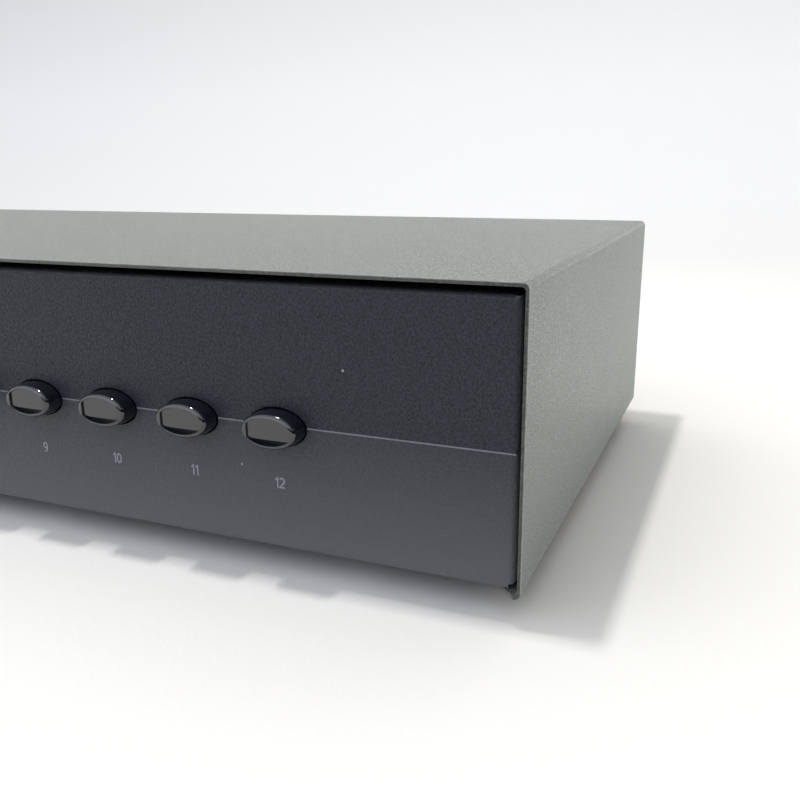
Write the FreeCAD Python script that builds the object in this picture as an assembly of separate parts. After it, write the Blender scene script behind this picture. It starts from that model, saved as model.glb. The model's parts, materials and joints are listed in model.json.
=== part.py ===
"""Speaker selector switch: a low steel case with a row of latching push buttons.

Millimetres. X runs to the right, Y from the front panel to the back, Z up.
The origin is the centre of the footprint, on the surface that the feet stand on.
"""
import FreeCAD, Part
import math
import os

Vector = FreeCAD.Vector
X_AXIS = Vector(1, 0, 0)
Y_AXIS = Vector(0, 1, 0)
Z_AXIS = Vector(0, 0, 1)

# ---- Case -----------------------------------------------------------------
case_width = 430.0
case_depth = 187.0
cover_height = 76.5            # the cover's lower edge to its top
sheet = 1.0                    # steel sheet of the cover, chassis and rear panel
cover_bend = 2.0               # outside radius of the cover's bends
panel_bend = 1.8               # outside radius of the chassis and rear panel bends
cover_flange = 14.0            # inward flange along each lower edge of the cover
panel_recess = 2.0             # front panel, behind the cover's front edge
rear_recess = 2.0              # rear panel, in front of the cover's back edge
side_gap = 0.85                # folded panel end to the cover's side
top_gap = 2.0                  # folded panel top to the cover's underside
top_fold = 11.0                # depth of the fold along the panel's top
end_fold = 9.0                 # depth of the folds at the panel's ends
fold_seam = 0.3                # the front panel's end folds, below its top
relief_width = 1.85            # corner relief beside the bottom bend
relief_height = 2.9
rear_upstand = 14.0            # chassis sheet that the rear panel is screwed to

# ---- Feet -----------------------------------------------------------------
foot_drop = 8.0                # cover's lower edge above the table
foot_top_radius = 8.0
foot_base_radius = 6.8
foot_side_inset = 38.0
foot_back_inset = 28.0         # the front feet stand midway under the switch board
foot_recess_radius = 3.8
foot_recess_depth = 4.0

# ---- Buttons --------------------------------------------------------------
button_count = 12
button_pitch = 27.0
button_height = 35.7           # button axis above the cover's lower edge
cap_width = 17.1
cap_height = 10.3
cap_taper = 0.47               # the front oval is this much smaller all round
cap_protrusion = 5.3           # cap front ahead of the panel
cap_skirt = 6.0                # cap behind the panel's front face
cap_rim = 0.7                  # rim over and under the sunk window
cap_edge_radius = 1.0
cap_wall = 1.2
cap_roof = 2.4
cap_sink = 0.6                 # depth of the sunk window
cap_window_width = 13.0        # between the window's straight ends
cap_ledge_drop = 2.0           # the window's floor slopes back from this far below the middle
cap_ledge_depth = 0.9          # how much further back it gets
hole_clearance = 0.3           # cap to panel hole, all round
travel = 3.5                   # full press

# ---- Switches -------------------------------------------------------------
rail_setback = 14.0            # rail web behind the panel's front face
rail_sheet = 1.2
rail_bend = 2.4
rail_foot = 9.0
rail_rise = 4.0                # rail above the switch housings
rail_overhang = 14.0           # rail and board past the outer switches' pitch
nose_size = 8.0                # housing nose in the rail's square hole
nose_clearance = 0.1
housing_width = 12.0
housing_height = 14.0
housing_length = 26.0
housing_front_wall = 2.0
housing_back_wall = 1.5
chamber_size = 7.2
rod_size = 5.0                 # square plunger rod
rod_clearance = 0.08
slider_clearance = 0.2
slider_length = 10.0
stop_clearance = 0.3           # slider behind the housing's front wall at rest
tail_radius = 1.2
tail_clearance = 1.2           # tail to the housing's back wall at full press
socket_clearance = 0.05
spring_radius = 2.2            # to the middle of the wire
spring_wire = 0.6
spring_turns = 6
spring_sides = 8               # flats round the wire, which has the area of a round one
spring_end_gap = 0.1
latch_wire = 0.7
latch_slot = 1.5
latch_bend = 1.0
latch_tip_setback = 8.0        # tip behind the housing's front
latch_tail_setback = 20.0
latch_tip_depth = 0.9          # tip in the slider's cam pocket
latch_tail_depth = 0.9         # tail hooked in below the slot's floor
latch_clearance = 0.4
latch_hole_clearance = 0.3     # below the tail
pin_rows = 2
pins_per_row = 4
pin_pitch = 4.0
pin_row_pitch = 8.0
pin_size = 0.8
pin_tail = 2.0                 # below the board

# ---- Boards and wiring ----------------------------------------------------
board_thickness = 1.6
board_depth = 52.0
board_gap = 0.3                # board behind the rail
board_hole_clearance = 0.1
standoff_radius = 3.0
standoff_side_inset = 15.0     # from the board's ends
standoff_end_inset = 5.0       # from the board's front and back edges
ribbon_width = 5.2
ribbon_thickness = 1.2
ribbon_bend = 4.0
ribbon_setback = 6.0           # ribbon in front of the board's back edge
input_ribbon_offset = 6.1      # beyond the outer button

# ---- Terminals ------------------------------------------------------------
strip_thickness = 7.0
strip_height = 11.0
strip_offset = 9.0             # strip centre above or below the button height
strip_groove = 1.2
strip_groove_depth = 0.8
strip_chamfer = 0.8
strip_margin = 12.0            # strip past the last speaker zone, for its screws
strip_end_margin = 4.0         # strip past the input zone, and its end screw from its end
input_inset = 23.0             # input zone from the case's side
terminal_spread = 11.0         # the two screws of one zone
terminal_shank_radius = 1.7
terminal_shank_length = 6.0
terminal_head_radius = 3.2
terminal_head_height = 2.2
terminal_clearance = 0.05      # round the shank, in the strip and the clamp
clamp_size = 8.0
clamp_thickness = 0.8
clamp_corner_radius = 0.8
tag_width = 2.8
tag_thickness = 0.6
tag_tail = 1.5                 # inside the terminal board
tag_slot_margin = 2.0
terminal_board_gap = 3.0       # rear panel to terminal board
terminal_board_margin = 1.2

# ---- Screws ---------------------------------------------------------------
screw_radius = 1.5
screw_head_radius = 2.8
screw_head_height = 2.0
screw_head_edge = 0.8          # radius round the top of the head
screw_clearance = 0.05         # round the shank, in every hole
head_slot_width = 0.8
head_slot_depth = 1.0
nut_across_flats = 5.5
nut_height = 2.4
cover_screws_per_side = 4
cover_screw_inset = 8.0
cover_screw_end_inset = 22.0
cover_screw_length = 5.0
rear_screw_count = 5
rear_screw_length = 5.0
rear_screw_height = 9.0        # above the chassis floor's underside
rear_screw_end_inset = 16.0
rail_screw_count = 4
rail_screw_length = 4.0
rail_screw_end_inset = 10.0
board_screw_length = 6.0
foot_screw_length = 8.0
strip_screw_length = 12.0

overshoot = 1.0                # how far a cutting tool runs past the face it leaves

# ---- Places worked out from the sizes above --------------------------------
half_width = case_width / 2
terminal_reach = strip_thickness + clamp_thickness + terminal_head_height
front_overhang = cap_protrusion - panel_recess
rear_overhang = terminal_reach - rear_recess
overall_depth = case_depth + front_overhang + rear_overhang

cover_front = front_overhang - overall_depth / 2
cover_back = cover_front + case_depth
cover_bottom = foot_drop
cover_top = cover_bottom + cover_height
panel_front = cover_front + panel_recess
panel_back = cover_back - rear_recess        # the rear panel's outer face
rear_inner = panel_back - sheet
chassis_bottom = cover_bottom + sheet
chassis_floor = chassis_bottom + sheet
chassis_top = cover_top - sheet - top_gap
panel_half = half_width - sheet - side_gap
floor_half = panel_half - relief_width

button_z = cover_bottom + button_height
button_xs = [button_pitch * (i - (button_count - 1) / 2) for i in range(button_count)]
bank_half = button_pitch * button_count / 2
cap_front = panel_front - cap_protrusion
rail_front = panel_front + rail_setback
housing_front = rail_front + rail_sheet
housing_back = housing_front + housing_length
chamber_front = housing_front + housing_front_wall
chamber_back = housing_back - housing_back_wall
slider_front = chamber_front + stop_clearance
slider_back = slider_front + slider_length
slider_size = chamber_size - 2 * slider_clearance
tail_length = chamber_back - slider_back - travel - tail_clearance
latch_tip_y = housing_front + latch_tip_setback
latch_tail_y = housing_front + latch_tail_setback
housing_bottom = button_z - housing_height / 2
housing_top = button_z + housing_height / 2
latch_tail_z = housing_top - latch_slot - latch_tail_depth
board_top = housing_bottom
board_bottom = board_top - board_thickness
board_front = housing_front + board_gap
board_back = board_front + board_depth
rail_half = bank_half + rail_overhang
standoff_half = rail_half - standoff_side_inset
ribbon_y = board_back - ribbon_setback
terminal_board_back = rear_inner - terminal_board_gap
terminal_board_front = terminal_board_back - board_thickness
input_x = input_inset - half_width
zone_xs = button_xs + [input_x]
terminal_xs = [x + side * terminal_spread / 2 for x in zone_xs for side in (-1, 1)]
strip_zs = [button_z - strip_offset, button_z + strip_offset]
strip_left = input_x - button_pitch / 2 - strip_end_margin
strip_right = bank_half + strip_margin
strip_back = panel_back + strip_thickness


# ---- Helpers ----------------------------------------------------------------
def box(x_range, y_range, z_range):
    """A box between two limits along each axis."""
    size = [high - low for low, high in (x_range, y_range, z_range)]
    return Part.makeBox(*size, Vector(x_range[0], y_range[0], z_range[0]))


def around(middle, size):
    """The limits of a span of this size about its middle."""
    return (middle - size / 2, middle + size / 2)


def rod(radius, length, start, direction=Z_AXIS):
    """A round bar."""
    return Part.makeCylinder(radius, length, start, direction)


def oval_outline(width, height, y, x=0.0):
    """An upright ellipse that faces along Y, centred on the button axis."""
    ellipse = Part.Ellipse(Vector(0, 0, 0), width / 2, height / 2).toShape()
    ellipse.rotate(Vector(0, 0, 0), X_AXIS, 90)
    ellipse.translate(Vector(x, y, button_z))
    return Part.Wire([ellipse])


def oval(width, height, y, depth, x=0.0):
    """An elliptical bar that runs back from y."""
    return Part.Face(oval_outline(width, height, y, x)).extrude(Y_AXIS * depth)


def turned_across(shape):
    """Turn a shape so that its X becomes Y, its Y becomes Z and its Z becomes X."""
    shape.rotate(Vector(0, 0, 0), Vector(1, 1, 1), 120)
    return shape


def heading(start, end):
    """The unit vector from one point to another."""
    return (end - start).normalize()


def shifted_path(points, distance):
    """An open path in the XY plane, moved sideways by a distance."""
    moved = []
    last = len(points) - 1
    for i, point in enumerate(points):
        before = heading(points[max(i, 1) - 1], points[max(i, 1)])
        after = heading(points[min(i, last - 1)], points[min(i, last - 1) + 1])
        normal_before = Vector(-before.y, before.x, 0)
        normal_after = Vector(-after.y, after.x, 0)
        share = distance / (1 + normal_before.dot(normal_after))
        moved.append(point + (normal_before + normal_after) * share)
    return moved


def turn_sign(before, corner, after):
    """1 where a path turns left at a corner, and -1 where it turns right."""
    cross = (corner - before).cross(after - corner)
    return math.copysign(1, cross.z)


def rounded_path(points, radii):
    """Straight edges joined by tangent arcs, one radius per inner corner."""
    edges = []
    start = points[0]
    for i, radius in enumerate(radii, start=1):
        corner = points[i]
        back = heading(corner, points[i - 1])
        ahead = heading(corner, points[i + 1])
        half_angle = back.getAngle(ahead) / 2
        reach = radius / math.tan(half_angle)
        middle = (back + ahead).normalize() * (radius / math.sin(half_angle) - radius)
        arc_start = corner + back * reach
        arc_end = corner + ahead * reach
        edges.append(Part.LineSegment(start, arc_start).toShape())
        edges.append(Part.Arc(arc_start, corner + middle, arc_end).toShape())
        start = arc_end
    edges.append(Part.LineSegment(start, points[-1]).toShape())
    return edges


def bent_sheet(path, bend, thickness, length):
    """A bent strip. Its outline is drawn in the XY plane and extruded up Z.

    path is the middle of the sheet's thickness, and bend the outside radius.
    """
    points = [Vector(u, v, 0) for u, v in path]
    corners = range(1, len(points) - 1)
    signs = [turn_sign(points[i - 1], points[i], points[i + 1]) for i in corners]
    middle = bend - thickness / 2
    edges = []
    for side in (1, -1):
        line = shifted_path(points, side * thickness / 2)
        radii = [middle - side * sign * thickness / 2 for sign in signs]
        edges.append((line, rounded_path(line, radii)))
    (left, left_edges), (right, right_edges) = edges
    ends = [Part.LineSegment(left[i], right[i]).toShape() for i in (0, -1)]
    wire = Part.Wire(Part.__sortEdges__(left_edges + right_edges + ends))
    return Part.Face(wire).extrude(Z_AXIS * length)


def sheet_across(path, bend, thickness, x_range):
    """A bent sheet whose path is given as (y, z) and which runs along X."""
    strip = turned_across(bent_sheet(path, bend, thickness, x_range[1] - x_range[0]))
    strip.translate(Vector(x_range[0], 0, 0))
    return strip


def sheet_lengthwise(path, bend, thickness, y_range):
    """A bent sheet whose path is given as (x, z) and which runs along Y."""
    strip = bent_sheet(path, bend, thickness, y_range[1] - y_range[0])
    strip.rotate(Vector(0, 0, 0), X_AXIS, 90)
    strip.translate(Vector(0, y_range[1], 0))
    return strip


def sheet_upright(path, bend, thickness, z_range):
    """A bent sheet whose path is given as (x, y) and which runs up Z."""
    strip = bent_sheet(path, bend, thickness, z_range[1] - z_range[0])
    strip.translate(Vector(0, 0, z_range[0]))
    return strip


def screw(length, radius=screw_radius, head_radius=screw_head_radius, head_height=screw_head_height):
    """A slotted pan head screw. Its seat is at z = 0 and its shank points down."""
    head = rod(head_radius, head_height, Vector(0, 0, 0))
    rim = [edge for edge in head.Edges if edge.Closed and edge.CenterOfMass.z > head_height / 2]
    head = head.makeFillet(screw_head_edge, rim)
    shank = rod(radius, length, Vector(0, 0, -length))
    slot = box(around(0, 2 * (head_radius + overshoot)), around(0, head_slot_width),
               (head_height - head_slot_depth, head_height + overshoot))
    return head.fuse(shank).cut(slot).removeSplitter()


def placed(shape, position, direction=Z_AXIS):
    """A copy of a shape made about +Z, turned to a direction and moved."""
    copy = shape.copy()
    turn = FreeCAD.Placement(position, FreeCAD.Rotation(Z_AXIS, direction))
    copy.Placement = turn.multiply(shape.Placement)
    return copy


def spaced(count, low, high):
    """Places spread evenly from one limit to the other."""
    return [low + (high - low) * i / (count - 1) for i in range(count)]


def regular_outline(sides, corner_radius, middle):
    """A regular polygon in the XZ plane, standing on a flat."""
    corners = []
    for i in range(sides + 1):
        angle = 2 * math.pi * (i + 0.5) / sides
        corners.append(middle + Vector(math.sin(angle), 0, -math.cos(angle)) * corner_radius)
    return Part.makePolygon(corners)


def cut_all(shape, tools):
    """A shape with every tool cut from it."""
    return shape.cut(Part.makeCompound(tools)).removeSplitter()


def save(name, shapes):
    """Write one node. A list of solids becomes one group."""
    shape = Part.makeCompound(shapes) if isinstance(shapes, list) else shapes
    shape.exportStep(os.path.join("parts", name + ".step"))


# ---- Screw places -----------------------------------------------------------
def cover_screw_points():
    """Under the cover's flanges, where they carry the chassis."""
    ys = spaced(cover_screws_per_side, cover_front + cover_screw_end_inset,
                cover_back - cover_screw_end_inset)
    x = half_width - cover_screw_inset
    return [Vector(side * x, y, cover_bottom) for side in (-1, 1) for y in ys]


def foot_points():
    """On the chassis floor's underside, with the front feet between the board's standoffs."""
    x = half_width - foot_side_inset
    ys = ((board_front + board_back) / 2, cover_back - foot_back_inset)
    return [Vector(side * x, y, chassis_bottom) for side in (-1, 1) for y in ys]


def rail_screw_points():
    """Under the rail's foot, on the chassis floor's underside."""
    half = rail_half - rail_screw_end_inset
    y = rail_front - rail_foot / 2
    return [Vector(x, y, chassis_bottom) for x in spaced(rail_screw_count, -half, half)]


def standoff_points():
    """Where the switch board is carried."""
    ys = (board_front + standoff_end_inset, board_back - standoff_end_inset)
    xs = (-standoff_half, 0, standoff_half)
    return [(x, y) for x in xs for y in ys]


def rear_screw_points():
    """Along the lower edge of the rear panel."""
    half = floor_half - rear_screw_end_inset
    z = chassis_bottom + rear_screw_height
    return [Vector(x, panel_back, z) for x in spaced(rear_screw_count, -half, half)]


def strip_screw_points():
    """In the middle of the switch bank and at both ends of each terminal strip."""
    xs = (strip_left + strip_end_margin, 0, strip_right - strip_margin / 2)
    return [Vector(x, strip_back, z) for x in xs for z in strip_zs]


def through_holes(points, thickness, direction=Z_AXIS):
    """Screw holes through a thickness that lies to either side of their points."""
    radius = screw_radius + screw_clearance
    reach = thickness + overshoot
    return [rod(radius, 2 * reach, point - direction * reach, direction) for point in points]


# ---- Case -------------------------------------------------------------------
def make_cover():
    """One sheet: the top, both sides and an inward flange under each side."""
    side = half_width - sheet / 2
    lower = cover_bottom + sheet / 2
    upper = cover_top - sheet / 2
    flange_end = half_width - cover_flange
    path = [(flange_end, lower), (side, lower), (side, upper),
            (-side, upper), (-side, lower), (-flange_end, lower)]
    cover = sheet_lengthwise(path, cover_bend, sheet, (cover_front, cover_back))
    mitres = [make_mitre(side, end) for side in (-1, 1) for end in (-1, 1)]
    return cut_all(cover, mitres + through_holes(cover_screw_points(), sheet))


def make_mitre(side, end):
    """The corner taken off a flange, at the front (-1) or the back (1)."""
    edge = cover_front if end < 0 else cover_back
    corner = Vector(side * (half_width - cover_bend), edge, cover_bottom - overshoot)
    inner = corner - X_AXIS * side * cover_flange
    wire = Part.makePolygon([corner, inner, inner - Y_AXIS * end * cover_flange, corner])
    return Part.Face(wire).extrude(Z_AXIS * (sheet + 2 * overshoot))


def folded_ends(face_y, inward, z_range):
    """A panel across the case with both ends folded in. inward is 1 or -1 along Y."""
    x = panel_half - sheet / 2
    middle = face_y + inward * sheet / 2
    tip = face_y + inward * end_fold
    path = [(-x, tip), (-x, middle), (x, middle), (x, tip)]
    return sheet_upright(path, panel_bend, sheet, z_range)


def make_corner_relief(side):
    """The slanted notch where the end fold meets the bottom bend, cut by a triangle twice its size."""
    inner = Vector(side * floor_half, panel_front - overshoot, chassis_bottom)
    outer = inner + X_AXIS * side * 2 * relief_width
    raised = outer + Z_AXIS * 2 * relief_height
    wire = Part.makePolygon([inner, outer, raised, inner])
    return Part.Face(wire).extrude(Y_AXIS * (end_fold + 2 * overshoot))


def make_bend_clearance():
    """Where the top bend runs between the two end folds, which go on beside it."""
    return box((-floor_half, floor_half), (panel_front - overshoot, panel_front + end_fold + overshoot),
               (chassis_top - panel_bend, chassis_top + overshoot))


def make_chassis():
    """One sheet: front panel with folds all round, floor and rear upstand."""
    front = panel_front + sheet / 2
    upper = chassis_top - sheet / 2
    floor = chassis_bottom + sheet / 2
    back = rear_inner - sheet / 2
    path = [(front + top_fold, upper), (front, upper), (front, floor),
            (back, floor), (back, chassis_bottom + rear_upstand)]
    body = sheet_across(path, panel_bend, sheet, (-floor_half, floor_half))
    ends = folded_ends(panel_front, 1, (chassis_bottom + panel_bend, chassis_top - fold_seam))
    holes = [oval(cap_width + 2 * hole_clearance, cap_height + 2 * hole_clearance,
                  panel_front - overshoot, sheet + 2 * overshoot, x) for x in button_xs]
    floor_points = cover_screw_points() + foot_points() + rail_screw_points()
    floor_points += [Vector(x, y, chassis_bottom) for x, y in standoff_points()]
    holes += through_holes(floor_points, sheet)
    holes += through_holes(rear_screw_points(), 2 * sheet, Y_AXIS)
    holes += [make_corner_relief(side) for side in (-1, 1)]
    return cut_all(body.fuse(ends.cut(make_bend_clearance())), holes)


def make_rear_panel():
    """The back of the case, folded in at its top and ends, slotted for the tags."""
    middle = panel_back - sheet / 2
    upper = cover_top - sheet - sheet / 2
    path = [(middle, chassis_bottom), (middle, upper), (middle - top_fold, upper)]
    body = sheet_across(path, panel_bend, sheet, (-floor_half, floor_half))
    ends = folded_ends(panel_back, -1, (chassis_floor + panel_bend, upper - panel_bend))
    slots = [box(around(x, terminal_spread + tag_width + tag_slot_margin),
                 (rear_inner - overshoot, panel_back + overshoot), around(z, tag_width + tag_slot_margin))
             for x in zone_xs for z in strip_zs]
    holes = through_holes(rear_screw_points(), sheet, Y_AXIS)
    holes += through_holes(strip_screw_points(), strip_thickness + sheet, Y_AXIS)
    return cut_all(body.fuse(ends), slots + holes)


def make_foot():
    """A tapered rubber foot, hollowed for its screw, hanging from z = 0."""
    height = chassis_bottom
    foot = Part.makeCone(foot_base_radius, foot_top_radius, height)
    recess = rod(foot_recess_radius, foot_recess_depth, Vector(0, 0, 0))
    hole = rod(screw_radius + screw_clearance, height, Vector(0, 0, 0))
    foot = foot.cut(recess).cut(hole)
    foot.translate(Vector(0, 0, -height))
    return foot


# ---- Buttons ----------------------------------------------------------------
def make_cap():
    """An oval cap with a rounded rim, a sunk window in front and a square socket behind."""
    front = oval_outline(cap_width - 2 * cap_taper, cap_height - 2 * cap_taper, cap_front)
    crown = Part.makeLoft([front, oval_outline(cap_width, cap_height, panel_front)], True, True)
    middle = (cap_front + panel_front) / 2
    rim = [edge for edge in crown.Edges if edge.Closed and edge.BoundBox.YMax < middle]
    crown = crown.makeFillet(cap_edge_radius, rim)
    skirt = oval(cap_width, cap_height, panel_front, cap_skirt)
    cap = crown.fuse(skirt).removeSplitter()
    return cut_all(cap, make_cap_front_cuts() + make_cap_back_cuts())


def make_cap_front_cuts():
    """The sunk window with straight ends, and the slope along its lower edge."""
    width = cap_width - 2 * (cap_taper + cap_rim)
    height = cap_height - 2 * (cap_taper + cap_rim)
    start = cap_front - overshoot
    sunk = cap_front + cap_sink
    oval_bar = oval(width, height, start, cap_roof + overshoot)
    window = oval_bar.common(box(around(0, cap_window_width), (start, cap_front + cap_roof),
                                 around(button_z, cap_height)))
    well = window.common(box(around(0, cap_width), (start, sunk), around(button_z, cap_height)))
    ledge_top = Vector(-cap_width, sunk, button_z - cap_ledge_drop)
    drop = Vector(0, 0, cap_ledge_drop - height / 2)
    ledge = Part.Face(Part.makePolygon([ledge_top, ledge_top + drop,
                                        ledge_top + drop + Y_AXIS * cap_ledge_depth, ledge_top]))
    slope = ledge.extrude(X_AXIS * 2 * cap_width).common(window)
    return [well, slope]


def make_cap_back_cuts():
    """The hollow behind the front and the socket for the plunger rod."""
    roof_back = cap_front + cap_roof
    skirt_back = panel_front + cap_skirt
    depth = skirt_back - roof_back
    hollow = oval(cap_width - 2 * (cap_wall + cap_taper), cap_height - 2 * (cap_wall + cap_taper),
                  roof_back, depth)
    boss_size = rod_size + 2 * cap_wall
    boss = box(around(0, boss_size), (roof_back, skirt_back), around(button_z, boss_size))
    socket_size = rod_size + 2 * socket_clearance
    socket = box(around(0, socket_size), (roof_back, skirt_back), around(button_z, socket_size))
    return [hollow.cut(boss), socket]


def make_plunger():
    """Square rod, slider with its cam pocket, and the tail that guides the spring."""
    start = cap_front + cap_roof + socket_clearance
    shaft = box(around(0, rod_size), (start, slider_front), around(button_z, rod_size))
    slider = box(around(0, slider_size), (slider_front, slider_back), around(button_z, slider_size))
    tail = rod(tail_radius, tail_length, Vector(0, slider_back, button_z), Y_AXIS)
    slider_top = button_z + slider_size / 2
    play = latch_wire / 2 + latch_clearance
    pocket = box(around(0, latch_slot), (latch_tip_y - travel - play, latch_tip_y + play),
                 (slider_top - latch_tip_depth - latch_clearance, slider_top + latch_clearance))
    return shaft.fuse([slider, tail]).removeSplitter().cut(pocket)


def wire_corner_radius():
    """Corner radius of the polygon that has the area of the spring's round wire."""
    corner_angle = 2 * math.pi / spring_sides
    round_area = math.pi * (spring_wire / 2) ** 2
    return math.sqrt(2 * round_area / (spring_sides * math.sin(corner_angle)))


def make_spring():
    """The return spring, between the slider and the housing's back wall."""
    length = chamber_back - slider_back - 2 * spring_end_gap - spring_wire
    helix = Part.makeHelix(length / spring_turns, length, spring_radius)
    section = regular_outline(spring_sides, wire_corner_radius(), Vector(spring_radius, 0, 0))
    coil = Part.Wire(helix.Edges).makePipeShell([section], True, True)
    coil.rotate(Vector(0, 0, 0), X_AXIS, -90)
    coil.translate(Vector(0, slider_back + spring_end_gap + spring_wire / 2, button_z))
    return coil


# ---- Switches ---------------------------------------------------------------
def make_housing():
    """One moulded switch housing, with its nose in the rail."""
    body = box(around(0, housing_width), (housing_front, housing_back), around(button_z, housing_height))
    nose = box(around(0, nose_size), (rail_front, housing_front), around(button_z, nose_size))
    bore_size = rod_size + 2 * rod_clearance
    bore = box(around(0, bore_size), (rail_front, chamber_front), around(button_z, bore_size))
    chamber = box(around(0, chamber_size), (chamber_front, chamber_back), around(button_z, chamber_size))
    slot = box(around(0, latch_slot), (latch_tip_y - latch_slot, latch_tail_y + latch_slot / 2),
               (housing_top - latch_slot, housing_top + overshoot))
    tip_hole = box(around(0, latch_slot), around(latch_tip_y, latch_slot), (button_z, housing_top))
    tail_hole_z = latch_tail_z - latch_hole_clearance
    tail_hole = rod(latch_wire / 2 + socket_clearance, housing_top - tail_hole_z,
                    Vector(0, latch_tail_y, tail_hole_z))
    return cut_all(body.fuse(nose), [bore, chamber, slot, tip_hole, tail_hole])


def make_latch_wire():
    """The bent wire whose tip follows the slider's cam pocket."""
    run_z = housing_top - latch_slot / 2
    tip_z = button_z + slider_size / 2 - latch_tip_depth
    points = [Vector(latch_tip_y, tip_z, 0), Vector(latch_tip_y, run_z, 0),
              Vector(latch_tail_y, run_z, 0), Vector(latch_tail_y, latch_tail_z, 0)]
    path = Part.Wire(rounded_path(points, [latch_bend, latch_bend]))
    circle = Part.Wire([Part.Circle(points[0], Y_AXIS, latch_wire / 2).toShape()])
    return turned_across(path.makePipeShell([circle], True, True))


def pin_points():
    """The contact pins of one switch, from its axis."""
    middle = (housing_front + housing_back) / 2
    xs = [pin_row_pitch * (row - (pin_rows - 1) / 2) for row in range(pin_rows)]
    ys = [middle + pin_pitch * (i - (pins_per_row - 1) / 2) for i in range(pins_per_row)]
    return [(x, y) for x in xs for y in ys]


def make_pins(x):
    """The contact pins of the switch at x, down through the board."""
    bottom = board_bottom - pin_tail
    return [box(around(x + px, pin_size), around(py, pin_size), (bottom, housing_bottom))
            for px, py in pin_points()]


def make_rail():
    """The steel angle that carries the switch bank."""
    foot_z = chassis_floor + rail_sheet / 2
    web_y = rail_front + rail_sheet / 2
    path = [(rail_front - rail_foot, foot_z), (web_y, foot_z), (web_y, housing_top + rail_rise)]
    rail = sheet_across(path, rail_bend, rail_sheet, (-rail_half, rail_half))
    hole_size = nose_size + 2 * nose_clearance
    holes = [box(around(x, hole_size), (rail_front - overshoot, housing_front + overshoot),
                 around(button_z, hole_size)) for x in button_xs]
    return cut_all(rail, holes + through_holes(rail_screw_points(), sheet + rail_sheet))


def make_switch_board():
    """The board under the switches, drilled for their pins and its screws."""
    board = box((-rail_half, rail_half), (board_front, board_back), (board_bottom, board_top))
    hole_size = pin_size + 2 * board_hole_clearance
    z_range = (board_bottom - overshoot, board_top + overshoot)
    holes = [box(around(x + px, hole_size), around(py, hole_size), z_range)
             for x in button_xs for px, py in pin_points()]
    holes += through_holes([Vector(x, y, board_top) for x, y in standoff_points()], board_thickness)
    return cut_all(board, holes)


def make_standoff():
    """A tubular standoff from the floor to the board."""
    length = board_bottom - chassis_floor
    tube = rod(standoff_radius, length, Vector(0, 0, 0))
    return tube.cut(rod(screw_radius + screw_clearance, length, Vector(0, 0, 0)))


def make_ribbon(x):
    """A flat four-core ribbon from the switch board to the terminal board."""
    path = [(ribbon_y, board_top), (ribbon_y, button_z), (terminal_board_front, button_z)]
    return sheet_across(path, ribbon_bend, ribbon_thickness, around(x, ribbon_width))


# ---- Terminals --------------------------------------------------------------
def make_strip(z):
    """A moulded terminal strip with shallow grooves between its terminals."""
    strip = box((strip_left, strip_right), (panel_back, strip_back), around(z, strip_height))
    edges = [edge for edge in strip.Edges if edge.BoundBox.YMin > strip_back - strip_chamfer]
    strip = strip.makeChamfer(strip_chamfer, edges)
    screw_points = [point for point in strip_screw_points() if point.z == z]
    groove_xs = [x + side * button_pitch / 2 for x in zone_xs for side in (-1, 1)] + zone_xs
    grooves = [box(around(x, strip_groove), (strip_back - strip_groove_depth, strip_back + overshoot),
                   around(z, strip_height + 2 * overshoot)) for x in sorted(set(groove_xs))
               if strip_left + strip_groove < x < strip_right - strip_groove
               and all(abs(x - point.x) > screw_head_radius for point in screw_points)]
    shank = terminal_shank_radius + terminal_clearance
    holes = [rod(shank, terminal_shank_length, Vector(x, strip_back, z), -Y_AXIS) for x in terminal_xs]
    holes += through_holes(screw_points, strip_thickness, Y_AXIS)
    return cut_all(strip, grooves + holes)


def make_clamp():
    """A square clamp plate, lying on z = 0."""
    plate = box(around(0, clamp_size), around(0, clamp_size), (0, clamp_thickness))
    corners = [edge for edge in plate.Edges if edge.BoundBox.ZLength > clamp_thickness / 2]
    plate = plate.makeFillet(clamp_corner_radius, corners)
    hole = terminal_shank_radius + terminal_clearance
    return plate.cut(rod(hole, clamp_thickness, Vector(0, 0, 0)))


def make_tags():
    """One solder tag behind each terminal, through the terminal board."""
    front = terminal_board_front - tag_tail
    return [box(around(x, tag_width), (front, panel_back), around(z, tag_thickness))
            for x in terminal_xs for z in strip_zs]


def make_terminal_board():
    """The upright board inside the rear panel that joins the tags to the ribbons."""
    edge = tag_width + terminal_board_margin
    board = box((min(terminal_xs) - edge, max(terminal_xs) + edge),
                (terminal_board_front, terminal_board_back),
                (strip_zs[0] - strip_height / 2, strip_zs[-1] + strip_height / 2))
    y_range = (terminal_board_front - overshoot, terminal_board_back + overshoot)
    holes = [box(around(x, tag_width + 2 * board_hole_clearance), y_range,
                 around(z, tag_thickness + 2 * board_hole_clearance))
             for x in terminal_xs for z in strip_zs]
    nut_room = nut_across_flats + terminal_board_margin
    holes += [box(around(point.x, nut_room), y_range, around(point.z, nut_room))
              for point in strip_screw_points()]
    return cut_all(board, holes)


def make_nut():
    """A plain hexagon nut, made about +Y from y = 0."""
    outline = regular_outline(6, nut_across_flats / math.sqrt(3), Vector(0, 0, 0))
    nut = Part.Face(outline).extrude(Y_AXIS * nut_height)
    return nut.cut(rod(screw_radius + screw_clearance, nut_height, Vector(0, 0, 0), Y_AXIS))


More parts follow.
